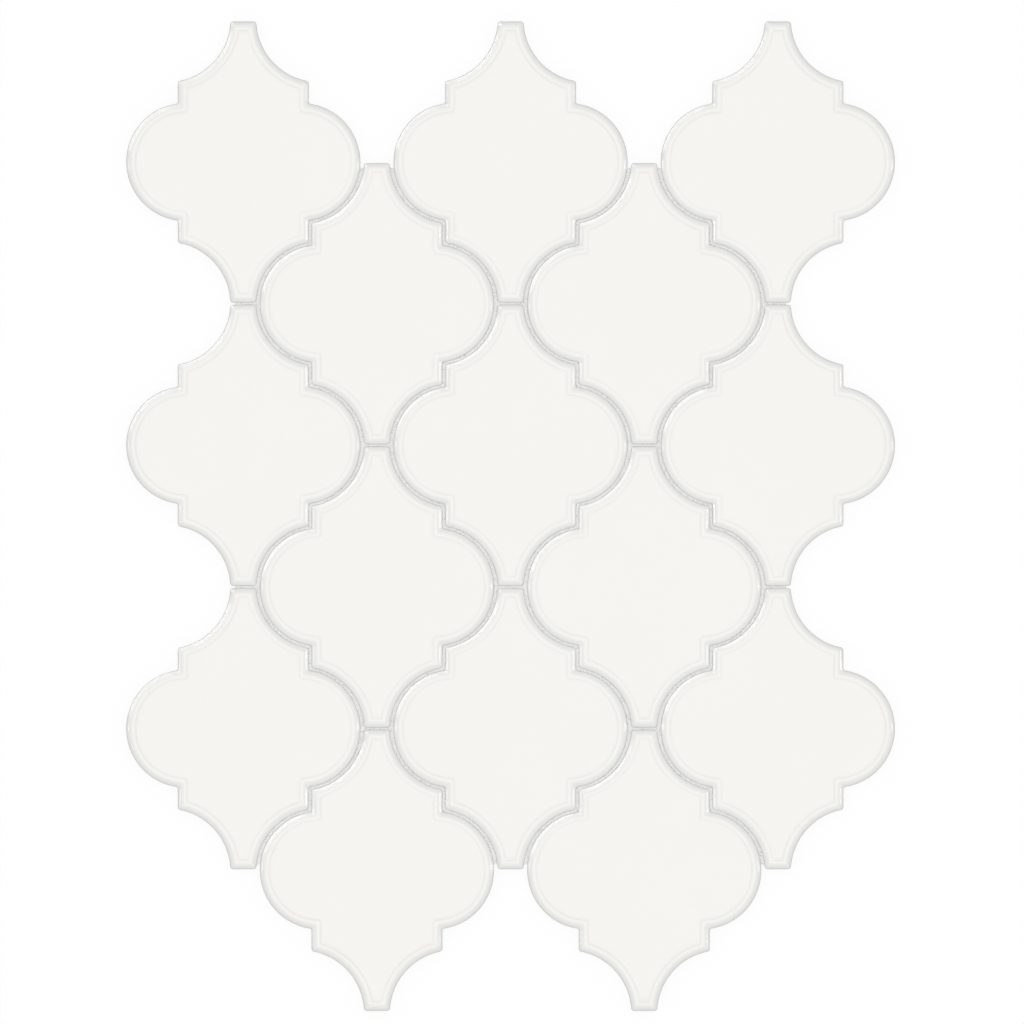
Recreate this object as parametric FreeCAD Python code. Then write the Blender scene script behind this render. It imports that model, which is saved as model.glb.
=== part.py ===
"""A mosaic sheet of interlocking arabesque (lantern) wall tiles, joined by grout on a glass-fibre mesh.

Fifteen pressed and glazed tiles lie face up in six rows of three and two. Each tile has a narrow tip at
each end, a hollow flank on each side of a tip, a small upright step below each flank, and a round lobe on
each side. A lobe lies in the hollow flanks of its neighbours, with the tips of two tiles meeting beside it.
All sizes are in millimetres. The sheet lies flat: X runs across it, Y along it, and Z up out of the face.
The origin is the middle of the sheet's outline, on the underside of the mesh.
"""
import FreeCAD, Part
import math
import os

from FreeCAD import Vector

# The pattern: tiles side by side, tiles tip to tip, and the tiles in each row, from the far end of the sheet.
pitch_across = 85.0
pitch_along = 90.1
tiles_in_row = (3, 2, 3, 2, 3, 2)

# One tile.
lobe_radius = 18.7
tip_width = 8.2
tile_thickness = 6.5

# The joints between neighbouring tiles.
tip_joint = 0.75        # between two tips
step_joint = 0.9        # between two upright steps, and between a lobe and the shoulder above it
lobe_joint = 1.2        # between the end of a lobe and the sides of the two tips beside it

# The grout between the tiles, and the mesh that they are glued to.
grout_recess = 1.1      # from the faces of the tiles down to the grout
grout_setback = 1.5     # back from the tips where a joint opens at the edge of the sheet
mesh_thickness = 0.4
mesh_setback = 2.5      # back from the same tips to the trimmed edge of the mesh

# Worked out from the sizes above.
face_height = mesh_thickness + tile_thickness
half_across = pitch_across / 2
half_along = pitch_along / 2
tip_end = half_along - tip_joint / 2
step_side = (half_across - step_joint) / 2
lobe_centre = half_across - tip_width / 2 - lobe_joint - lobe_radius
# A flank is an arc about a point near the centre of the lobe that lies in it. It is lobe_joint away from the
# lobe beside the tip and step_joint away at the shoulder, so its centre is a little way past that of the lobe.
reach_at_tip = lobe_radius + lobe_joint
reach_at_shoulder = lobe_radius + step_joint
flank_radius = (reach_at_tip ** 2 / reach_at_shoulder + reach_at_shoulder) / 2
flank_centre = Vector(half_across - lobe_centre, half_along + flank_radius - reach_at_shoulder, 0)


def arc_about(centre, start, end):
    """The short arc about a centre from start to end."""
    middle = (start + end) * 0.5 - centre
    middle = centre + middle * ((start - centre).Length / middle.Length)
    return Part.Arc(start, middle, end).toShape()


def quarter_outline():
    """A quarter of a tile's outline, end to end: half a tip, a flank, a step and half a lobe."""
    lobe_middle = Vector(lobe_centre, 0, 0)
    flank_drop = math.sqrt(flank_radius ** 2 - (flank_centre.x - step_side) ** 2)
    flank_reach = math.sqrt(flank_radius ** 2 - (flank_centre.y - tip_end) ** 2)
    tip_middle = Vector(0, tip_end, 0)
    tip_corner = Vector(flank_centre.x - flank_reach, tip_end, 0)
    shoulder = Vector(step_side, flank_centre.y - flank_drop, 0)
    notch = Vector(step_side, math.sqrt(lobe_radius ** 2 - (step_side - lobe_centre) ** 2), 0)
    lobe_end = Vector(lobe_centre + lobe_radius, 0, 0)
    return [Part.makeLine(tip_middle, tip_corner),
            arc_about(flank_centre, tip_corner, shoulder),
            Part.makeLine(shoulder, notch),
            arc_about(lobe_middle, notch, lobe_end)]


def tile():
    """One tile about its own centre, with its back at height zero. Its outline is a quarter mirrored twice."""
    centre = Vector(0, 0, 0)
    quarter = quarter_outline()
    half = quarter + [edge.mirror(centre, Vector(0, 1, 0)) for edge in reversed(quarter)]
    whole = half + [edge.mirror(centre, Vector(1, 0, 0)) for edge in reversed(half)]
    return Part.Face(Part.Wire(whole)).extrude(Vector(0, 0, tile_thickness)).removeSplitter()


def tile_places():
    """Where each tile's back is centred, keyed by its row and its number in the row, counted from one."""
    places = {}
    for row, count in enumerate(tiles_in_row):
        y = ((len(tiles_in_row) - 1) / 2 - row) * half_along
        for number in range(count):
            x = (number - (count - 1) / 2) * pitch_across
            places[row + 1, number + 1] = Vector(x, y, mesh_thickness)
    return places


def middle_block(setback, bottom, top):
    """A block over the middle of the sheet. Its edges pass through tiles and across the open joint ends.

    Each edge is set back by the same distance from the tips whose joints open at that edge of the sheet.
    """
    half_x = (max(tiles_in_row) - 1) * half_across + tip_width / 2 - setback
    half_y = ((len(tiles_in_row) - 1) / 2 - 1) * half_along + tip_end - setback
    return Part.makeBox(2 * half_x, 2 * half_y, top - bottom, Vector(-half_x, -half_y, bottom))


def grout(tiles):
    """The grout: every joint between two tiles, filled from the mesh up to the recess below their faces."""
    return middle_block(grout_setback, mesh_thickness, face_height - grout_recess).cut(tiles)


def backing_mesh():
    """The mesh that the tiles are glued to, trimmed straight a little inside the ends of the grout."""
    return middle_block(mesh_setback, 0, mesh_thickness)


def write_part(name, shape):
    """One STEP file for each piece of the sheet."""
    shape.exportStep(os.path.join("parts", name + ".step"))
    print("%-14s solids %d valid %s volume %9.1f mm3 faces %d"
          % (name, len(shape.Solids), shape.isValid(), shape.Volume, len(shape.Faces)))


def main():
    os.makedirs("parts", exist_ok=True)
    one_tile = tile()
    tiles = {key: one_tile.translated(place) for key, place in tile_places().items()}
    for (row, number), shape in tiles.items():
        write_part("tile_row%d_no%d" % (row, number), shape)
    write_part("grout", grout(list(tiles.values())))
    write_part("backing_mesh", backing_mesh())


main()
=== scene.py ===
"""Looks and light for a sheet of interlocking arabesque mosaic tiles, seen from straight above."""
import math

import bpy
import numpy as np
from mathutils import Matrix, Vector


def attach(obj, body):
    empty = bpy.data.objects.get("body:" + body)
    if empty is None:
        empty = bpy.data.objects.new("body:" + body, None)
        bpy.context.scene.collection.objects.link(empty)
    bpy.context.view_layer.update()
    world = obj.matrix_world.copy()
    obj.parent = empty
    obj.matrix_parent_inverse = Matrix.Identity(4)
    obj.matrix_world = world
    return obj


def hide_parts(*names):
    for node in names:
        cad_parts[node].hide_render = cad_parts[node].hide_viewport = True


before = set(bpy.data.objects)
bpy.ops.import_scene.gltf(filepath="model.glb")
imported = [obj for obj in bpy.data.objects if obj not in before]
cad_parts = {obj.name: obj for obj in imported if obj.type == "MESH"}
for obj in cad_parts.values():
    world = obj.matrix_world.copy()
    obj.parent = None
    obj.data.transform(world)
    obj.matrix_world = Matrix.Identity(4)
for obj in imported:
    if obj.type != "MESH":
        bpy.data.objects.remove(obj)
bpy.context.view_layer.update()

# Lengths of the sheet are in millimetres. Those of the lamps, the floor and the camera are in metres.
MM = 0.001

# The pattern of the sheet.
PITCH_ACROSS = 85.0
PITCH_ALONG = 90.1
HALF_ACROSS = PITCH_ACROSS / 2
HALF_ALONG = PITCH_ALONG / 2
TILES_IN_ROW = (3, 2, 3, 2, 3, 2)

# Plan of a tile.
LOBE_RADIUS = 18.7
TIP_WIDTH = 8.2
TIP_JOINT = 0.75
STEP_JOINT = 0.9
LOBE_JOINT = 1.2
CORNER_RADIUS = 0.95        # on the four corners of the tips and the four shoulders
CORNER_SHRINK = 0.6         # how much that radius loses for each millimetre in from the outline
LEAST_CORNER = 0.2
NOTCH_RADIUS = 0.8          # in the inner corner between a step and a lobe

TIP_END = HALF_ALONG - TIP_JOINT / 2
STEP_SIDE = (HALF_ACROSS - STEP_JOINT) / 2
LOBE_CENTRE = HALF_ACROSS - TIP_WIDTH / 2 - LOBE_JOINT - LOBE_RADIUS
REACH_AT_TIP = LOBE_RADIUS + LOBE_JOINT
REACH_AT_SHOULDER = LOBE_RADIUS + STEP_JOINT
FLANK_RADIUS = (REACH_AT_TIP ** 2 / REACH_AT_SHOULDER + REACH_AT_SHOULDER) / 2
FLANK_X = HALF_ACROSS - LOBE_CENTRE
FLANK_Y = HALF_ALONG + FLANK_RADIUS - REACH_AT_SHOULDER

# Heights above the floor.
MESH_TOP = 0.4
FACE_TOP = 6.9
GROUT_TOP = 5.8

# The side of a tile: places on the bevel at its foot, in from the outline and above the back, and the heights
# of the rings of points on the upright side.
FOOT_BEVEL = ((0.30, 0.0), (0.09, 0.07), (0.0, 0.3))
SIDE_LEVELS = (2.2, 4.2, 5.6)

# The cushioned rim of a tile, from its outline in to the flat face.
CHAMFER_ANGLE = math.radians(31)
CHAMFER_INNER = 0.6         # where the straight slope gives way to an arc
ARC_INNER = 1.76            # where the arc gives way to a nearly flat band
BAND_SLOPE = 0.083          # of the band, and added to the slope outside it
BAND_INNER = 2.7            # where the band meets the face, in a fine groove
GROOVE_DEPTH = 0.07
GROOVE_WIDTH = 0.46
GROOVE_REACH = 0.6          # how far to either side of its middle the rings of points follow the groove
CHAMFER_RINGS, ARC_RINGS, GROOVE_RINGS = 4, 10, 13      # how many rings of points follow each

# Rings of points on the back and on the face, as shares of the nearest outline.
BACK_SHARES = (0.35, 0.7)
FACE_SHARES = (0.95, 0.82, 0.62, 0.4, 0.2)
FAR_INSIDE = 9.0            # noted as the distance from the outline of every point on them

# The grout, which is made on a grid.
GROUT_SETBACK = 1.5         # back from the tips at the edges of the sheet
GROUT_GRID = 0.2
GRID_START = 1.63           # in steps outside the grout, so that no line of the grid runs along a joint
GROUT_DROP = 0.02           # of its top below GROUT_TOP at the sides of a joint
GROUT_HOLLOW = 0.05         # how much lower it is between the tiles
HOLLOW_RUN = 0.16           # in from the side of a joint, where the hollow has most of its depth
GRAIN_HEIGHT = 0.04
GRAIN_LIMIT = 2             # of the grain, in steps of GRAIN_HEIGHT
GRAIN_MARGIN = 0.01         # no grain nearer than this to the side of a joint
GRAIN_SEED = 7

# The backing mesh. A strand's section is its half width, its half height and its number of sides.
MESH_SETBACK = 2.5          # back from the tips at the edges of the sheet
STRAND_SPACING = 5.0
CROSS_SECTION = (0.5, 0.075, 8)
LONG_SECTION = (0.2, 0.055, 6)
STRAND_WANDER = 0.12        # sideways, over the lengths below, each of which makes one radian of a wave
CROSS_WANDER_LENGTH = 31
LONG_WANDER_LENGTH = 27
PAIR_SPREAD = 0.3           # of two twisted strands, to either side of their middle line
PAIR_LIFT = 0.075           # of one above the middle of the mesh, and of the other below it
PAIR_SWING = 0.06           # more than that where they meet a cross strand, and less half-way between

# Plain colours, two for each surface, which the tone drifts between.
GLAZE_FACE = ((0.862, 0.854, 0.822), (0.872, 0.864, 0.832))
BARE_BODY = ((0.70, 0.66, 0.59), (0.78, 0.75, 0.69))
CEMENT = ((0.75, 0.745, 0.735), (0.83, 0.825, 0.815))
FIBRE = ((0.74, 0.74, 0.69), (0.86, 0.86, 0.83))

# Tints over them: how far the surface turns to the tint, and its colour.
# Painted shade: a darker, greyer rim, standing in for the shade on its slope.
RIM_PAINTED_SHADE = (1.0, (0.835, 0.834, 0.826))
# Painted shade: a dark line along the outline, standing in for the shade on the steep edge.
EDGE_PAINTED_SHADE = (0.9, (0.67, 0.668, 0.66))
# Painted shade: a darker fine groove, standing in for the shade in the crease.
GROOVE_PAINTED_SHADE = (0.2, (0.72, 0.70, 0.66))
GLAZE_SPECKS = (0.3, (0.55, 0.50, 0.43))
BODY_PORES = (0.35, (0.52, 0.48, 0.42))
DARK_SAND = (0.7, (0.52, 0.51, 0.49))
PALE_SAND = (0.9, (0.95, 0.95, 0.945))
FIBRE_DUST = (0.4, (0.62, 0.60, 0.55))

# Where the painted shade on the rim, along the outline and in the groove fades out, in from the outline, or
# away from the middle of the groove.
RIM_SHADE_FADE = (0.3, 2.0)
EDGE_SHADE_FADE = (0.08, 0.42)
GROOVE_SHADE_FADE = (0.05, 0.5)

# The glaze ends in an uneven line low on the sides: its least height, and how much higher noise can take it.
GLAZE_LINE = 0.7
GLAZE_LINE_RISE = 2.4
GLAZE_LINE_SOFT = 0.12

NOISE_RANGE = (0.3, 0.7)    # where most of a noise's values lie
DOT_SHARPNESS = 8.0
GLAZE_ROUGHNESS = (0.09, 0.15)
GLAZE_IOR = 1.52
BODY_ROUGHNESS = 0.82
CEMENT_ROUGHNESS = 0.9
SAND_SMOOTHER = 0.25        # how much less rough a pale grain of sand is than the cement
FIBRE_ROUGHNESS = (0.35, 0.6)
FIBRE_NOISE = 9.0           # waves in a millimetre across a strand
FIBRE_CHANGE = 0.4          # steps of the noise's fourth coordinate for each millimetre along it

# The floor, as seen and in the light that it throws back.
FLOOR_REACH = 9.0
FLOOR_WHITE = (0.97, 0.97, 0.97)
FLOOR_GREY = (0.5, 0.5, 0.5)
FLOOR_GLOW = 0.92           # how much of what the camera sees of it is plain white
FLOOR_ROUGHNESS = 0.9

# How bright the sky is, where 1 is plain white.
SKY_HORIZON = 0.12
SKY_ZENITH = 1.735

# Soft boxes one above another at the upper left, which only gloss shows: the angles from the zenith that each
# spans, and how bright it is. They fade out between two angles to either side, given by their tangents.
SOFT_BOXES = ((32, 43, 2.8), (47.5, 53, 8.0), (62.5, 71.5, 5.8))
BOX_BEARING = 135
BOX_ASIDE = (0.45, 0.78)
BOX_SOFTNESS = 0.012        # of their upper and lower edges, in the upward part of a direction

# Lamps, as add_lamp takes them: name, bearing, angle from the zenith, distance, width, height, level, and
# whether only gloss shows it.
LAMPS = (
    ("overhead_panel", 90, 0, 2.4, 0.85, 0.85, 1.4, False),
    ("left_lamp", 180, 64, 4.0, 0.5, 0.26, 16.0, True),
    ("right_lamp", 0, 63.8, 4.0, 0.5, 0.24, 15.0, True),
    ("upper_right_lamp", 0, 51.5, 4.0, 0.5, 0.4, 10.0, True),
)

CAMERA_PLACE = (0.00045, 0.00133, 5.0)
PICTURE_WIDTH = 0.3256
SENSOR_WIDTH = 36.0
CLIP_RANGE = (0.1, 60.0)


def half_extents(setback):
    """Half width and half length of the middle of the sheet, set back from the tips at its edges."""
    half_x = (max(TILES_IN_ROW) - 1) * HALF_ACROSS + TIP_WIDTH / 2 - setback
    half_y = ((len(TILES_IN_ROW) - 1) / 2 - 1) * HALF_ALONG + TIP_END - setback
    return half_x, half_y


# Making meshes.

def new_piece(name, points, faces, material, node):
    """A mesh object from points in millimetres and lists of faces, riding on the sheet in place of a node."""
    mesh = bpy.data.meshes.new(name)
    mesh.from_pydata(np.asarray(points, dtype=float) * MM, [], faces)
    mesh.polygons.foreach_set("use_smooth", np.ones(len(mesh.polygons), dtype=bool))
    mesh.materials.append(material)
    mesh.update()
    piece = bpy.data.objects.new(name, mesh)
    bpy.context.scene.collection.objects.link(piece)
    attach(piece, "root")
    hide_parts(node)
    return piece


def add_layer(piece, name, values):
    """A number for each point of a piece, which its material can read by name."""
    layer = piece.data.attributes.new(name, "FLOAT", "POINT")
    layer.data.foreach_set("value", values)


def grid_quads(rows, columns):
    """Quads between neighbouring rows of a grid of points whose columns close on themselves."""
    row, column = np.meshgrid(np.arange(rows - 1), np.arange(columns), indexing="ij")
    after = (column + 1) % columns
    quads = np.stack([row * columns + column, row * columns + after,
                      (row + 1) * columns + after, (row + 1) * columns + column], axis=-1)
    return quads.reshape(-1, 4)


def fan(centre, ring, turned):
    """Triangles from a centre point to each edge of a closed ring of point numbers."""
    after = np.roll(ring, -1)
    sides = (after, ring) if turned else (ring, after)
    return np.stack([np.full(len(ring), centre), *sides], axis=-1)


# The tile.

def arc(centre_x, centre_y, radius, start, end, steps):
    """Points on arcs: centre plus radius times the cosine and sine of an angle that runs from start to end.

    Every argument but steps holds one value for each inset, so a row of points comes out for each inset.
    """
    turn = np.linspace(0.0, 1.0, steps + 1)
    angle = start[:, None] + (end - start)[:, None] * turn
    return np.stack([centre_x[:, None] + radius[:, None] * np.cos(angle),
                     centre_y[:, None] + radius[:, None] * np.sin(angle)], axis=-1)


def line(start_x, start_y, end_x, end_y, steps):
    """Points on straight lines: start plus a share, from none to all, of the way to the end."""
    share = np.linspace(0.0, 1.0, steps + 1)
    return np.stack([start_x[:, None] + (end_x - start_x)[:, None] * share,
                     start_y[:, None] + (end_y - start_y)[:, None] * share], axis=-1)


def outline(insets):
    """Closed outlines of a tile, one for each inset, as an array of inset by place along the outline by x, y.

    Moving in by an inset keeps the centre of every arc. The lobe's radius is smaller by the inset and the
    flank's larger, and the tip and the step move in by it. Each corner is an arc that touches both its sides.
    """
    inset = np.asarray(insets, dtype=float)
    zero = np.zeros_like(inset)
    corner = np.maximum(CORNER_RADIUS - inset * CORNER_SHRINK, LEAST_CORNER)
    notch = np.full_like(inset, NOTCH_RADIUS)
    flank = FLANK_RADIUS + inset
    flank_x, flank_y = zero + FLANK_X, zero + FLANK_Y
    reach = flank + corner
    tip_level = TIP_END - inset
    tip_y = tip_level - corner
    tip_x = flank_x - np.sqrt(reach ** 2 - (flank_y - tip_y) ** 2)
    step = STEP_SIDE - inset
    shoulder_x = step - corner
    shoulder_y = flank_y - np.sqrt(reach ** 2 - (flank_x - shoulder_x) ** 2)
    lobe = LOBE_RADIUS - inset
    lobe_x = zero + LOBE_CENTRE
    notch_x = step + notch
    notch_y = np.sqrt((lobe + notch) ** 2 - (notch_x - lobe_x) ** 2)

    from_tip = np.arctan2(flank_y - tip_y, flank_x - tip_x)
    from_shoulder = np.arctan2(flank_y - shoulder_y, flank_x - shoulder_x)
    from_lobe = np.arctan2(notch_y, notch_x - lobe_x)
    right, up, half_turn = zero, zero + math.pi / 2, zero + math.pi
    quarter = [line(zero, tip_level, tip_x, tip_level, steps=4),
               arc(tip_x, tip_y, corner, up, from_tip, steps=5),
               arc(flank_x, flank_y, flank, from_tip + half_turn, from_shoulder + half_turn, steps=24),
               arc(shoulder_x, shoulder_y, corner, from_shoulder, right, steps=5),
               line(step, shoulder_y, step, notch_y, steps=7),
               arc(notch_x, notch_y, notch, half_turn, from_lobe + half_turn, steps=4),
               arc(lobe_x, zero, lobe, from_lobe, right, steps=26)]
    quarter = np.concatenate([quarter[0]] + [run[:, 1:] for run in quarter[1:]], axis=1)
    half = np.concatenate([quarter, quarter[:, -2::-1] * (1, -1)], axis=1)
    # Clockwise from the far tip, then turned round so that it runs counterclockwise.
    whole = np.concatenate([half, half[:, -2:0:-1] * (-1, 1)], axis=1)
    return whole[:, ::-1]


def tile_section():
    """The section of a tile from the edge of its back to its face: how far in, and how high, at each ring.

    The side stands upright from a small bevel at the foot to a little above the grout. The rim above it falls
    from the face by three amounts added together: a fine groove of bell shape, an even slope outside the
    groove, and an arc of a circle that starts level and runs into a straight chamfer.
    """
    radius = (ARC_INNER - CHAMFER_INNER) / math.sin(CHAMFER_ANGLE)
    inset = np.concatenate([np.linspace(0, CHAMFER_INNER, CHAMFER_RINGS),
                            np.linspace(CHAMFER_INNER, ARC_INNER, ARC_RINGS)[1:],
                            np.linspace(BAND_INNER - GROOVE_REACH, BAND_INNER + GROOVE_REACH, GROOVE_RINGS)])
    into_arc = np.clip(ARC_INNER - inset, 0, ARC_INNER - CHAMFER_INNER)
    fall = radius - np.sqrt(radius ** 2 - into_arc ** 2)
    fall += np.maximum(CHAMFER_INNER - inset, 0) * math.tan(CHAMFER_ANGLE)
    fall += BAND_SLOPE * np.maximum(BAND_INNER - inset, 0)
    fall += GROOVE_DEPTH * np.exp(-((inset - BAND_INNER) / GROOVE_WIDTH) ** 2)
    rim = np.stack([inset, FACE_TOP - fall], axis=-1)
    foot = [(inward, MESH_TOP + rise) for inward, rise in FOOT_BEVEL]
    side = [(0.0, level) for level in SIDE_LEVELS]
    return np.concatenate([foot, side, rim])


def shrunk(ring, shares, height):
    """A ring of points drawn in towards the tile's centre by each of some shares, all at one height."""
    return np.array(shares)[:, None, None] * (1, 1, 0) * ring + (0, 0, height)


def tile_points():
    """A whole tile in rings of points, from the middle of its back to its edge and the middle of its face.

    Returns the points, the faces, and how far in from the outline each point lies.
    """
    section = tile_section()
    rings = outline(section[:, 0])
    count = rings.shape[1]
    heights = np.repeat(section[:, 1], count).reshape(len(section), count, 1)
    body = np.concatenate([rings, heights], axis=-1)
    back = shrunk(body[0], BACK_SHARES, MESH_TOP)
    face = shrunk(body[-1], FACE_SHARES, FACE_TOP)
    rings = np.concatenate([back, body, face])
    inset = np.concatenate([np.full(len(back), FAR_INSIDE), section[:, 0], np.full(len(face), FAR_INSIDE)])
    middles = np.array([[0, 0, MESH_TOP], [0, 0, FACE_TOP]])
    points = np.concatenate([rings.reshape(-1, 3), middles])
    inset = np.concatenate([np.repeat(inset, count), np.full(len(middles), FAR_INSIDE)])
    last = rings.shape[0] * count
    faces = grid_quads(rings.shape[0], count).tolist()
    faces += fan(last, np.arange(count), True).tolist()
    faces += fan(last + 1, np.arange(last - count, last), False).tolist()
    return points, faces, inset


def add_tiles(material):
    """Fifteen tiles from one mould, each laid at its place in the pattern."""
    points, faces, inset = tile_points()
    for row, count in enumerate(TILES_IN_ROW):
        y = ((len(TILES_IN_ROW) - 1) / 2 - row) * HALF_ALONG
        for number_in_row in range(count):
            x = (number_in_row - (count - 1) / 2) * PITCH_ACROSS
            name = "row%d_no%d" % (row + 1, number_in_row + 1)
            tile = new_piece("glazed_tile_" + name, points + (x, y, 0), faces, material,
                             "tile_" + name)
            add_layer(tile, "from_edge", inset)


# The grout.

def rounded_least(a, b, radius):
    """The lesser of two distances, with the corner where they are equal rounded to a radius.

    Where both are less than the radius, it is the radius less the hypotenuse of what each of them lacks.
    """
    corner = np.hypot(np.maximum(radius - a, 0), np.maximum(radius - b, 0))
    return np.maximum(radius, np.minimum(a, b)) - corner


def rounded_most(a, b, radius):
    """The greater of two distances, with the corner where they are equal filled to a radius."""
    return -rounded_least(-a, -b, radius)


def folded(values, pitch, start):
    """Distances from the nearest of a row of places a pitch apart."""
    return np.abs((values - start + pitch / 2) % pitch - pitch / 2)


def inside_tile(x, y):
    """How far points lie inside a tile about the origin, negative outside.

    A point is inside the tile if it is in a lobe, or between the steps and the tips and outside the circles
    of the flanks.
    """
    flank = np.hypot(x - FLANK_X, y - FLANK_Y) - FLANK_RADIUS
    side = rounded_least(STEP_SIDE - x, flank, CORNER_RADIUS)
    stem = np.minimum(rounded_least(TIP_END - y, flank, CORNER_RADIUS), side)
    return rounded_most(stem, LOBE_RADIUS - np.hypot(x - LOBE_CENTRE, y), NOTCH_RADIUS)


def inside_joint(x, y):
    """How far points lie inside the network of joints, within the rectangle where the grout ends.

    The odd rows are one tile repeated by both pitches, and so are the even rows. The result is the least of
    how far a point lies outside a tile of an odd row, outside one of an even row, and inside the rectangle.
    """
    half_x, half_y = half_extents(GROUT_SETBACK)
    odd = inside_tile(folded(x, PITCH_ACROSS, 0), folded(y, PITCH_ALONG, HALF_ALONG / 2))
    even = inside_tile(folded(x, PITCH_ACROSS, HALF_ACROSS), folded(y, PITCH_ALONG, -HALF_ALONG / 2))
    return np.minimum(-np.maximum(odd, even), np.minimum(half_x - np.abs(x), half_y - np.abs(y)))


def grid_places(half):
    """Places along one side of the grout's grid, which reaches a little past half a length either way."""
    return np.arange(-half - GRID_START * GROUT_GRID, half + 2 * GROUT_GRID, GROUT_GRID)


def region_surface(depth, xs, ys):
    """The part of a grid where depth is positive, cut along the line where it is nought.

    Each square of the grid gives one face: its corners inside the region, and the places on its edges where
    depth, taken as even between grid points, passes nought. Returns the points, the faces grouped by their
    number of corners, and the pairs of points along the border with the region on their left.
    """
    inside = depth > 0
    rows, columns = depth.shape
    ids_inside = np.full(depth.shape, -1)
    ids_inside[inside] = np.arange(inside.sum())
    row, column = np.nonzero(inside)
    points = [np.stack([xs[column], ys[row]], axis=-1)]
    total = len(row)
    crossings = []
    for down, across in ((0, 1), (1, 0)):
        first = inside[:rows - down, :columns - across]
        second = inside[down:, across:]
        row, column = np.nonzero(first != second)
        a, b = depth[row, column], depth[row + down, column + across]
        share = a / (a - b)
        here = np.stack([xs[column], ys[row]], axis=-1)
        there = np.stack([xs[column + across], ys[row + down]], axis=-1)
        points.append(here + (there - here) * share[:, None])
        ids = np.full(depth.shape, -1)
        ids[row, column] = total + np.arange(len(row))
        total += len(row)
        crossings.append(ids)
    flat, upright = crossings
    corners = [ids_inside[:-1, :-1], ids_inside[:-1, 1:], ids_inside[1:, 1:], ids_inside[1:, :-1]]
    edges = [flat[:-1, :-1], upright[:-1, 1:], flat[1:, :-1], upright[:-1, :-1]]
    # Each square is of one of sixteen kinds, by which of its corners are inside. In kind nought none is.
    code = sum((corner >= 0) * 2 ** k for k, corner in enumerate(corners))
    faces, border = {}, []
    for kind in range(1, 16):
        cells = code == kind
        if not cells.any():
            continue
        held = [bool(kind >> k & 1) for k in range(4)]
        walk, crossing = [], []
        for k in range(4):
            if held[k]:
                walk.append(corners[k][cells])
                crossing.append(False)
            if held[k] != held[(k + 1) % 4]:
                walk.append(edges[k][cells])
                crossing.append(True)
        faces.setdefault(len(walk), []).append(np.stack(walk, axis=-1))
        for k in range(len(walk)):
            after = (k + 1) % len(walk)
            if crossing[k] and crossing[after]:
                border.append(np.stack([walk[k], walk[after]], axis=-1))
    faces = [np.concatenate(group) for group in faces.values()]
    return np.concatenate(points), faces, np.concatenate(border)


def add_grout(material):
    """Grout in every joint: a grainy top, hollowed a little between the tiles, over a flat underside.

    The top is GROUT_TOP less a drop and a hollow, plus random grain. The hollow is GROUT_HOLLOW times one
    less an exponential, which falls from one the further a point lies in from the side of the joint.
    """
    xs, ys = (grid_places(half) for half in half_extents(GROUT_SETBACK))
    depth = inside_joint(xs[None, :], ys[:, None])
    flat, faces, border = region_surface(depth, xs, ys)
    depth = np.maximum(inside_joint(flat[:, 0], flat[:, 1]), 0)
    grain = np.clip(np.random.default_rng(GRAIN_SEED).normal(0.0, 1.0, len(flat)), -GRAIN_LIMIT, GRAIN_LIMIT)
    hollow = GROUT_HOLLOW * (1 - np.exp(-depth / HOLLOW_RUN))
    top = GROUT_TOP - GROUT_DROP - hollow + grain * GRAIN_HEIGHT * (depth > GRAIN_MARGIN)
    count = len(flat)
    points = np.concatenate([np.column_stack([flat, top]), np.column_stack([flat, np.full(count, MESH_TOP)])])
    lists = []
    for group in faces:
        lists += group.tolist() + (group[:, ::-1] + count).tolist()
    start, end = border[:, 0], border[:, 1]
    lists += np.stack([start + count, end + count, end, start], axis=-1).tolist()
    new_piece("sanded_grout", points, lists, material, "grout")


# The backing mesh.

def strands(paths, half_width, half_height, sides):
    """Closed strands of oval section along paths that run mostly one way.

    paths is strand by place by x, y, z. A point of a section lies at the path plus the strand's own sideways
    direction times the cosine, and upright times the sine, of an angle that goes once round. Returns the
    points, the faces, and how far along its strand each point lies.
    """
    many, places = paths.shape[:2]
    along = np.gradient(paths, axis=1)
    along /= np.linalg.norm(along, axis=-1, keepdims=True)
    sideways = np.stack([-along[..., 1], along[..., 0], np.zeros(along.shape[:2])], axis=-1)
    sideways /= np.linalg.norm(sideways, axis=-1, keepdims=True)
    upright = np.cross(along, sideways)
    angle = np.linspace(0, 2 * math.pi, sides, endpoint=False)[:, None]
    rings = (paths[:, :, None] + half_width * np.cos(angle) * sideways[:, :, None]
             + half_height * np.sin(angle) * upright[:, :, None])
    size = places * sides
    quads = (grid_quads(places, sides)[None] + size * np.arange(many)[:, None, None]).reshape(-1, 4)
    first = np.arange(sides) + size * np.arange(many)[:, None]
    last = first + size - sides
    length = np.linalg.norm(np.diff(paths, axis=1), axis=-1).cumsum(axis=1)
    length = np.concatenate([np.zeros((many, 1)), length], axis=1)
    run = np.repeat(length.reshape(-1), sides)
    return rings.reshape(-1, 3), quads.tolist() + first[:, ::-1].tolist() + last.tolist(), run


def strand_lines(half):
    """Where parallel strands lie, a spacing apart, out to half a width to either side of the middle."""
    count = int(half / STRAND_SPACING)
    return np.arange(-count, count + 1) * STRAND_SPACING


def strand_places(half):
    """Places along a strand from one edge of the mesh to the other, about four to a spacing."""
    return np.linspace(-half, half, int(half / STRAND_SPACING) * 8 + 1)


def wander(places, lines, length):
    """How far each strand strays sideways at each place along it, as a sine wave with a phase of its own."""
    return STRAND_WANDER * np.sin(places[None, :] / length + lines[:, None])


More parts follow.
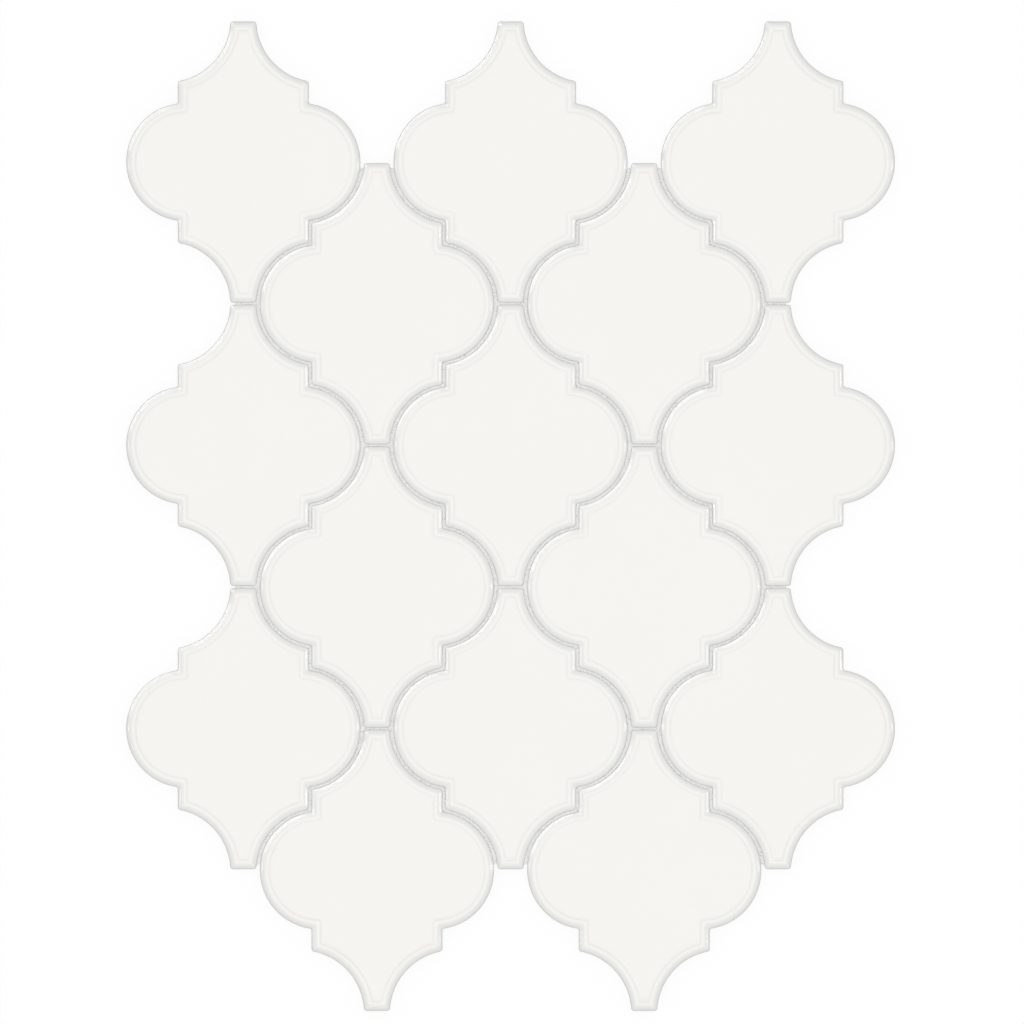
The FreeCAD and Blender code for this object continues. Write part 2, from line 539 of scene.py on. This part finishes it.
def add_backing_mesh(material):
    """Glass-fibre mesh under the tiles: flat cross strands between pairs of thin twisted long strands.

    The strands of a pair lie to either side of their line by a cosine of the way along it, and so change
    sides half-way between two cross strands. One keeps above the middle of the mesh and the other below it,
    by a cosine of twice that angle, most where they meet a cross strand.
    """
    half_x, half_y = half_extents(MESH_SETBACK)
    middle = MESH_TOP / 2
    lines, x = strand_lines(half_y), strand_places(half_x)
    y = lines[:, None] + wander(x, lines, CROSS_WANDER_LENGTH)
    cross = np.stack([np.broadcast_to(x, y.shape), y, np.full(y.shape, middle)], axis=-1)

    lines, y = strand_lines(half_x), strand_places(half_y)
    wave = np.pi * y[None, :] / STRAND_SPACING
    pair = []
    for side in (-1, 1):
        height = middle + side * (PAIR_LIFT + PAIR_SWING * np.cos(2 * wave))
        x = lines[:, None] + wander(y, lines, LONG_WANDER_LENGTH) + side * PAIR_SPREAD * np.cos(wave)
        pair.append(np.stack([x, np.broadcast_to(y, x.shape), np.broadcast_to(height, x.shape)], axis=-1))

    for name, paths, section in (("mesh_cross_strands", cross, CROSS_SECTION),
                                 ("mesh_long_strands", np.concatenate(pair), LONG_SECTION)):
        points, faces, run = strands(paths, *section)
        piece = new_piece(name, points, faces, material, "backing_mesh")
        add_layer(piece, "along", run)


# Making materials.

def node_group(name, inputs, outputs):
    """An empty shader group with named number sockets. Inputs map a name to its default."""
    group = bpy.data.node_groups.new(name, "ShaderNodeTree")
    for label, default in inputs.items():
        socket = group.interface.new_socket(name=label, in_out="INPUT", socket_type="NodeSocketFloat")
        socket.default_value = default
    for label in outputs:
        group.interface.new_socket(name=label, in_out="OUTPUT", socket_type="NodeSocketFloat")
    return group, group.nodes.new("NodeGroupInput"), group.nodes.new("NodeGroupOutput")


def node(tree, kind, **settings):
    """A new node with its settings made."""
    made = tree.nodes.new(kind)
    for label, value in settings.items():
        setattr(made, label, value)
    return made


def join(tree, source, target):
    """A link from an output to an input."""
    tree.links.new(source, target)


def number(tree, operation, *values, clamp=False):
    """A maths node fed with numbers or sockets. Returns its result."""
    made = node(tree, "ShaderNodeMath", operation=operation, use_clamp=clamp)
    for socket, value in zip(made.inputs, values):
        if isinstance(value, (int, float)):
            socket.default_value = value
        else:
            join(tree, value, socket)
    return made.outputs[0]


def between(tree, value, low, high, out_low=0.0, out_high=1.0):
    """A smooth passage from one value to another as a socket goes from low to high."""
    made = node(tree, "ShaderNodeMapRange", interpolation_type="SMOOTHSTEP")
    join(tree, value, made.inputs["Value"])
    for label, amount in (("From Min", low), ("From Max", high), ("To Min", out_low), ("To Max", out_high)):
        made.inputs[label].default_value = amount
    return made.outputs["Result"]


def fading(tree, value, low, high):
    """A mask that is one below low and nought above high."""
    return between(tree, value, low, high, 1.0, 0.0)


def band(tree, value, low, high, soft):
    """A mask that is one between low and high and nought past them, with soft edges."""
    risen = between(tree, value, low - soft, low + soft)
    return number(tree, "MULTIPLY", risen, fading(tree, value, high - soft, high + soft))


def scaled_noise(tree, per_mm, detail=2.0, roughness=0.5):
    """Noise on the object's own coordinates, with so many waves in a millimetre."""
    place = node(tree, "ShaderNodeTexCoord")
    made = node(tree, "ShaderNodeTexNoise")
    made.inputs["Scale"].default_value = per_mm / MM
    made.inputs["Detail"].default_value = detail
    made.inputs["Roughness"].default_value = roughness
    join(tree, place.outputs["Object"], made.inputs["Vector"])
    return made.outputs["Fac"]


def mottle_group():
    """Slow uneven tone over a surface, as a mask from nought to one.

    It is noise at a chosen size less a half, times the contrast, plus a half, held between nought and one.
    """
    group, given, result = node_group("uneven_tone", {"Waves per metre": 40.0, "Contrast": 1.0}, ["Mask"])
    place = node(group, "ShaderNodeTexCoord")
    noise = node(group, "ShaderNodeTexNoise")
    noise.inputs["Detail"].default_value = 3.0
    join(group, place.outputs["Object"], noise.inputs["Vector"])
    join(group, given.outputs["Waves per metre"], noise.inputs["Scale"])
    centred = number(group, "SUBTRACT", noise.outputs["Fac"], 0.5)
    spread = number(group, "MULTIPLY", centred, given.outputs["Contrast"])
    join(group, number(group, "ADD", spread, 0.5, clamp=True), result.inputs["Mask"])
    return group


def speckle_group():
    """Scattered round grains: cells that a random number picks out, each with a dot at its own centre.

    A dot is its size less the distance from its centre, times a sharpness, held between nought and one.
    """
    group, given, result = node_group(
        "scattered_grains", {"Cells per metre": 1000.0, "Share": 0.3, "Dot size": 0.35}, ["Mask"])
    place = node(group, "ShaderNodeTexCoord")
    cells = node(group, "ShaderNodeTexVoronoi", voronoi_dimensions="3D", feature="F1")
    join(group, place.outputs["Object"], cells.inputs["Vector"])
    join(group, given.outputs["Cells per metre"], cells.inputs["Scale"])
    colour = node(group, "ShaderNodeSeparateColor")
    join(group, cells.outputs["Color"], colour.inputs["Color"])
    picked = number(group, "LESS_THAN", colour.outputs["Red"], given.outputs["Share"])
    nearness = number(group, "SUBTRACT", given.outputs["Dot size"], cells.outputs["Distance"])
    dot = number(group, "MULTIPLY", nearness, DOT_SHARPNESS, clamp=True)
    join(group, number(group, "MULTIPLY", dot, picked), result.inputs["Mask"])
    return group


def masked(tree, group, **values):
    """The mask of a group, with its own values. Underscores in their names stand for spaces."""
    made = node(tree, "ShaderNodeGroup", node_tree=group)
    for label, value in values.items():
        made.inputs[label.replace("_", " ")].default_value = value
    return made.outputs["Mask"]


def mixed(tree, mask, low, high):
    """A colour that passes from low to high by a mask. Each is a colour or a socket."""
    made = node(tree, "ShaderNodeMix", data_type="RGBA")
    join(tree, mask, made.inputs["Factor"])
    for socket, value in ((made.inputs[6], low), (made.inputs[7], high)):
        if isinstance(value, tuple):
            socket.default_value = (*value, 1.0)
        else:
            join(tree, value, socket)
    return made.outputs[2]


def tinted(tree, colour, mask, strength, tint):
    """A colour that turns to a tint where a mask is one, wholly or by a share, the strength."""
    if strength < 1:
        mask = number(tree, "MULTIPLY", mask, strength)
    return mixed(tree, mask, colour, tint)


def bumped(tree, height, distance_mm, under=None):
    """A bump from a height that runs from nought to one over a distance."""
    made = node(tree, "ShaderNodeBump")
    made.inputs["Strength"].default_value = 1.0
    made.inputs["Distance"].default_value = distance_mm * MM
    join(tree, height, made.inputs["Height"])
    if under is not None:
        join(tree, under, made.inputs["Normal"])
    return made.outputs["Normal"]


def new_finish(name):
    """A material with one plain surface shader."""
    material = bpy.data.materials.new(name)
    material.use_nodes = True
    tree = material.node_tree
    return material, tree, tree.nodes["Principled BSDF"]


# Finishes.

def glazed_finish(tone, grains):
    """Off-white glaze over a pressed white body, which is bare on the back and low on the sides."""
    material, tree, shader = new_finish("glazed_porcelain")
    place = node(tree, "ShaderNodeTexCoord")
    parts = node(tree, "ShaderNodeSeparateXYZ")
    join(tree, place.outputs["Object"], parts.inputs["Vector"])
    height = number(tree, "MULTIPLY", parts.outputs["Z"], 1 / MM)
    line_height = number(tree, "MULTIPLY_ADD", scaled_noise(tree, per_mm=0.35), GLAZE_LINE_RISE, GLAZE_LINE)
    over_line = number(tree, "SUBTRACT", height, line_height)
    glazed = between(tree, over_line, -GLAZE_LINE_SOFT, GLAZE_LINE_SOFT)

    from_edge = node(tree, "ShaderNodeAttribute", attribute_name="from_edge").outputs["Fac"]
    off_groove = number(tree, "ABSOLUTE", number(tree, "SUBTRACT", from_edge, BAND_INNER))
    specks = masked(tree, grains, Cells_per_metre=240.0, Share=0.06, Dot_size=0.07)
    glaze = mixed(tree, masked(tree, tone, Waves_per_metre=22.0, Contrast=1.6), *GLAZE_FACE)
    # Painted shade on the rim's slope.
    glaze = tinted(tree, glaze, fading(tree, from_edge, *RIM_SHADE_FADE), *RIM_PAINTED_SHADE)
    # Painted shade in a dark line along the outline.
    glaze = tinted(tree, glaze, fading(tree, from_edge, *EDGE_SHADE_FADE), *EDGE_PAINTED_SHADE)
    # Painted shade in the groove.
    glaze = tinted(tree, glaze, fading(tree, off_groove, *GROOVE_SHADE_FADE), *GROOVE_PAINTED_SHADE)
    glaze = tinted(tree, glaze, specks, *GLAZE_SPECKS)
    pores = masked(tree, grains, Cells_per_metre=1500.0, Share=0.25, Dot_size=0.4)
    body = mixed(tree, masked(tree, tone, Waves_per_metre=130.0, Contrast=1.8), *BARE_BODY)
    body = tinted(tree, body, pores, *BODY_PORES)
    join(tree, mixed(tree, glazed, body, glaze), shader.inputs["Base Color"])

    gloss = between(tree, scaled_noise(tree, per_mm=0.12, detail=3.0), *NOISE_RANGE, *GLAZE_ROUGHNESS)
    dull = node(tree, "ShaderNodeMix", data_type="FLOAT")
    join(tree, glazed, dull.inputs["Factor"])
    dull.inputs[2].default_value = BODY_ROUGHNESS
    join(tree, gloss, dull.inputs[3])
    join(tree, dull.outputs[0], shader.inputs["Roughness"])
    shader.inputs["IOR"].default_value = GLAZE_IOR

    # A slight ripple in the glaze, the grain of the body where it is bare, and the step where the glaze ends.
    ripple = bumped(tree, scaled_noise(tree, per_mm=0.45, detail=1.0), distance_mm=0.012)
    bare = number(tree, "SUBTRACT", 1.0, glazed)
    grain = scaled_noise(tree, per_mm=3.5, detail=3.0, roughness=0.65)
    rough = bumped(tree, number(tree, "MULTIPLY", grain, bare), distance_mm=0.10, under=ripple)
    join(tree, bumped(tree, glazed, distance_mm=0.07, under=rough), shader.inputs["Normal"])
    return material


def grout_finish(tone, grains):
    """Light grey cement with fine sand in it, matt and open-grained."""
    material, tree, shader = new_finish("sanded_grout")
    cement = mixed(tree, masked(tree, tone, Waves_per_metre=60.0, Contrast=1.8), *CEMENT)
    dark = masked(tree, grains, Cells_per_metre=1900.0, Share=0.4, Dot_size=0.46)
    cement = tinted(tree, cement, dark, *DARK_SAND)
    pale = masked(tree, grains, Cells_per_metre=1600.0, Share=0.55, Dot_size=0.45)
    cement = tinted(tree, cement, pale, *PALE_SAND)
    join(tree, cement, shader.inputs["Base Color"])
    dullness = number(tree, "MULTIPLY_ADD", pale, -SAND_SMOOTHER, CEMENT_ROUGHNESS)
    join(tree, dullness, shader.inputs["Roughness"])
    sand = number(tree, "ADD", scaled_noise(tree, per_mm=4.0, detail=3.0, roughness=0.6), pale)
    join(tree, bumped(tree, sand, distance_mm=0.09), shader.inputs["Normal"])
    return material


def fibre_finish(tone, grains):
    """White glass fibre under a dried coating that is a little glossy."""
    material, tree, shader = new_finish("glass_fibre_mesh")
    colour = mixed(tree, masked(tree, tone, Waves_per_metre=150.0, Contrast=1.6), *FIBRE)
    dust = masked(tree, grains, Cells_per_metre=900.0, Share=0.2, Dot_size=0.3)
    join(tree, tinted(tree, colour, dust, *FIBRE_DUST), shader.inputs["Base Color"])
    # Fine noise that changes more slowly along a strand than across it.
    along = node(tree, "ShaderNodeAttribute", attribute_name="along")
    place = node(tree, "ShaderNodeTexCoord")
    fibres = node(tree, "ShaderNodeTexNoise", noise_dimensions="4D")
    join(tree, place.outputs["Object"], fibres.inputs["Vector"])
    join(tree, number(tree, "MULTIPLY", along.outputs["Fac"], FIBRE_CHANGE), fibres.inputs["W"])
    fibres.inputs["Scale"].default_value = FIBRE_NOISE / MM
    fibres.inputs["Detail"].default_value = 2.0
    join(tree, bumped(tree, fibres.outputs["Fac"], distance_mm=0.04), shader.inputs["Normal"])
    roughness = between(tree, fibres.outputs["Fac"], *NOISE_RANGE, *FIBRE_ROUGHNESS)
    join(tree, roughness, shader.inputs["Roughness"])
    return material


# Floor, light and camera.

def plainly_seen(tree, path):
    """One for rays from the camera, from a reflection or through glass, and nought for all others."""
    seen = number(tree, "MAXIMUM", path.outputs["Is Camera Ray"], path.outputs["Is Glossy Ray"])
    return number(tree, "MAXIMUM", seen, path.outputs["Is Transmission Ray"])


def white_to_camera(tree, shader_socket, share):
    """A surface that shows the camera mostly plain white, and light and shadow otherwise."""
    glow = node(tree, "ShaderNodeEmission")
    glow.inputs["Color"].default_value = (1, 1, 1, 1)
    glow.inputs["Strength"].default_value = 1.0
    seen = plainly_seen(tree, node(tree, "ShaderNodeLightPath"))
    blend = node(tree, "ShaderNodeMixShader")
    join(tree, number(tree, "MULTIPLY", seen, share), blend.inputs["Fac"])
    join(tree, shader_socket, blend.inputs[1])
    join(tree, glow.outputs["Emission"], blend.inputs[2])
    return blend.outputs["Shader"]


def add_floor():
    """A wide level floor, white to the camera and in reflections, and grey in the light it throws back."""
    material, tree, shader = new_finish("white_floor")
    path = node(tree, "ShaderNodeLightPath")
    join(tree, mixed(tree, path.outputs["Is Diffuse Ray"], FLOOR_WHITE, FLOOR_GREY),
         shader.inputs["Base Color"])
    shader.inputs["Roughness"].default_value = FLOOR_ROUGHNESS
    shader.inputs["Specular IOR Level"].default_value = 0.0
    output = tree.nodes["Material Output"]
    join(tree, white_to_camera(tree, shader.outputs["BSDF"], FLOOR_GLOW), output.inputs["Surface"])
    mesh = bpy.data.meshes.new("floor")
    corners = np.array([[-1, -1, 0], [1, -1, 0], [1, 1, 0], [-1, 1, 0]]) * FLOOR_REACH
    mesh.from_pydata(corners, [], [(0, 1, 2, 3)])
    mesh.materials.append(material)
    floor = bpy.data.objects.new("floor", mesh)
    bpy.context.scene.collection.objects.link(floor)


def add_lamp(name, bearing, from_zenith, distance, width, height, level, gloss_only):
    """A soft rectangular lamp aimed at the sheet, placed by its bearing and its angle down from the zenith.

    The bearing is in degrees, counterclockwise from the right of the picture. The level is how bright the
    lamp's face is, where 1 is plain white. A lamp for gloss only makes highlights and lights nothing else.
    """
    data = bpy.data.lights.new(name, "AREA")
    data.shape = "RECTANGLE"
    data.size, data.size_y = width, height
    data.energy = level * math.pi * width * height
    lamp = bpy.data.objects.new(name, data)
    across, down = math.radians(bearing), math.radians(from_zenith)
    place = Vector((math.sin(down) * math.cos(across), math.sin(down) * math.sin(across), math.cos(down)))
    lamp.location = place * distance
    lamp.rotation_euler = (-place).to_track_quat("-Z", "Y").to_euler()
    lamp.visible_camera = False
    lamp.visible_diffuse = not gloss_only
    bpy.context.scene.collection.objects.link(lamp)


def soft_boxes(tree, direction, upward):
    """How bright the soft boxes are in a direction, given with its upward part.

    The direction is turned about the upright until X is the way towards the boxes. Each box is a band of the
    upward part, times how bright it is. Their sum fades with the tangent of the angle to either side.
    """
    turned = node(tree, "ShaderNodeVectorRotate", rotation_type="Z_AXIS")
    turned.inputs["Angle"].default_value = -math.radians(BOX_BEARING)
    join(tree, direction, turned.inputs["Vector"])
    parts = node(tree, "ShaderNodeSeparateXYZ")
    join(tree, turned.outputs["Vector"], parts.inputs["Vector"])
    # The way towards the boxes is kept above nought, to divide by.
    towards = number(tree, "MAXIMUM", parts.outputs["X"], 0.001)
    aside = number(tree, "DIVIDE", number(tree, "ABSOLUTE", parts.outputs["Y"]), towards)
    boxes = 0.0
    for top, bottom, bright in SOFT_BOXES:
        low, high = math.cos(math.radians(bottom)), math.cos(math.radians(top))
        boxes = number(tree, "MULTIPLY_ADD", band(tree, upward, low, high, BOX_SOFTNESS), bright, boxes)
    return number(tree, "MULTIPLY", boxes, fading(tree, aside, *BOX_ASIDE))


def add_light():
    """A sky that is brightest overhead, a panel overhead, and what makes the highlights on the glaze.

    The sky is as bright as at the horizon, plus what the zenith has over that times the square of the upward
    part of a direction. It is plain white where the camera sees it or the glaze mirrors it, apart from the
    soft boxes, which stand out in the mirror alone.
    """
    world = bpy.data.worlds.new("studio")
    bpy.context.scene.world = world
    world.use_nodes = True
    tree = world.node_tree
    tree.nodes.clear()
    direction = node(tree, "ShaderNodeTexCoord").outputs["Generated"]
    parts = node(tree, "ShaderNodeSeparateXYZ")
    join(tree, direction, parts.inputs["Vector"])
    upward = number(tree, "MAXIMUM", parts.outputs["Z"], 0.0)
    overhead = number(tree, "POWER", upward, 2.0)
    sky = number(tree, "MULTIPLY_ADD", overhead, SKY_ZENITH - SKY_HORIZON, SKY_HORIZON)
    path = node(tree, "ShaderNodeLightPath")
    mirrored = number(tree, "MULTIPLY_ADD", soft_boxes(tree, direction, upward),
                      path.outputs["Is Glossy Ray"], 1.0)
    level = node(tree, "ShaderNodeMix", data_type="FLOAT")
    join(tree, plainly_seen(tree, path), level.inputs["Factor"])
    join(tree, sky, level.inputs[2])
    join(tree, mirrored, level.inputs[3])
    backdrop = node(tree, "ShaderNodeBackground")
    backdrop.inputs["Color"].default_value = (1, 1, 1, 1)
    join(tree, level.outputs[0], backdrop.inputs["Strength"])
    output = node(tree, "ShaderNodeOutputWorld")
    join(tree, backdrop.outputs["Background"], output.inputs["Surface"])
    for lamp in LAMPS:
        add_lamp(*lamp)


def add_camera():
    """A long lens straight above, with the far end of the sheet at the top of the picture.

    The picture is PICTURE_WIDTH wide at the level where the tiles meet the grout: the lens is to the sensor
    as the camera's height over that level is to the picture.
    """
    data = bpy.data.cameras.new("camera")
    data.sensor_width = SENSOR_WIDTH
    data.lens = SENSOR_WIDTH * (CAMERA_PLACE[2] - GROUT_TOP * MM) / PICTURE_WIDTH
    data.clip_start, data.clip_end = CLIP_RANGE
    camera = bpy.data.objects.new("camera", data)
    camera.location = CAMERA_PLACE
    bpy.context.scene.collection.objects.link(camera)
    bpy.context.scene.camera = camera


bpy.context.scene.view_settings.view_transform = "Standard"
uneven_tone = mottle_group()
scattered_grains = speckle_group()
add_tiles(glazed_finish(uneven_tone, scattered_grains))
add_grout(grout_finish(uneven_tone, scattered_grains))
add_backing_mesh(fibre_finish(uneven_tone, scattered_grains))
add_floor()
add_light()
add_camera()
